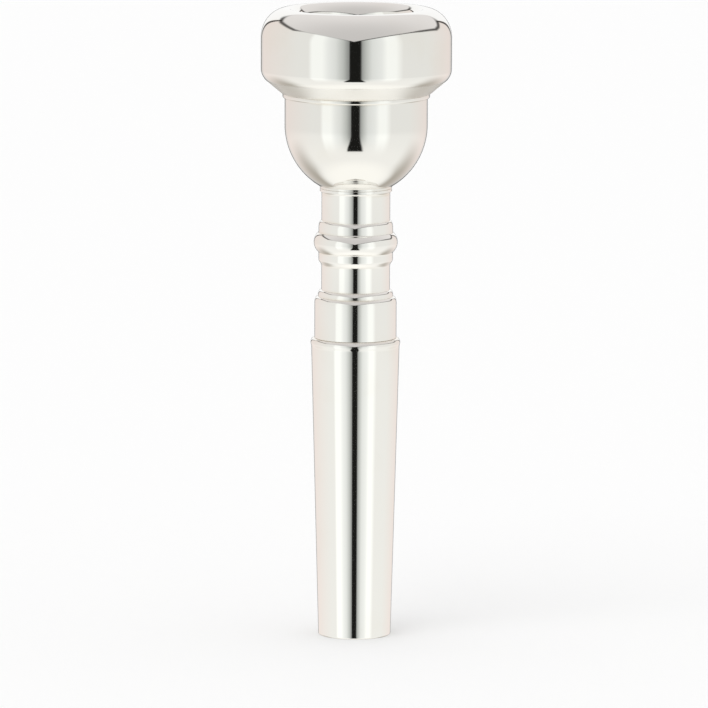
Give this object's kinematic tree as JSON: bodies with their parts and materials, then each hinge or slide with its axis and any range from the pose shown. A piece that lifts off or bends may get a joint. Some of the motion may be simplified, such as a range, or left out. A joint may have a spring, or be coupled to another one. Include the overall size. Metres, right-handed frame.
{
  "type": "trumpet mouthpiece",
  "caption": "Silver-plated brass mouthpiece with a rounded screw-on rim, a bowl-shaped cup, a turned neck with a bead, a backbore and a tapered shank sleeve that fits a trumpet's receiver.",
  "frame": {"origin": "centre of the shank's open small end, where the air leaves", "axes": "+Z along the bore, from the shank's end up to the rim; X and Y are free, as the piece is round"},
  "size_m": [0.0262, 0.0262, 0.087],
  "materials": {
    "rim_silver": "bright polished silver plate on brass",
    "cup_silver": "bright polished silver plate on brass, the threads duller",
    "stem_silver": "polished silver plate on brass, the bore and the spigot duller",
    "sleeve_silver": "polished silver plate on brass with fine turning marks"
  },
  "bodies": {
    "shank_sleeve": {"shank_sleeve": "sleeve_silver"},
    "stem": {"stem": "stem_silver"},
    "cup": {"cup": "cup_silver"},
    "rim": {"rim": "rim_silver"}
  },
  "joints": [
    {"name": "stem_pull", "type": "slide", "parent": "shank_sleeve", "child": "stem", "axis": [0, 0, 1], "range_m": [0, 0.031]},
    {"name": "cup_unscrew", "type": "slide", "parent": "stem", "child": "cup", "axis": [0, 0, 1], "range_m": [0, 0.011]},
    {"name": "rim_unscrew", "type": "slide", "parent": "cup", "child": "rim", "axis": [0, 0, 1], "range_m": [0, 0.012]}
  ]
}
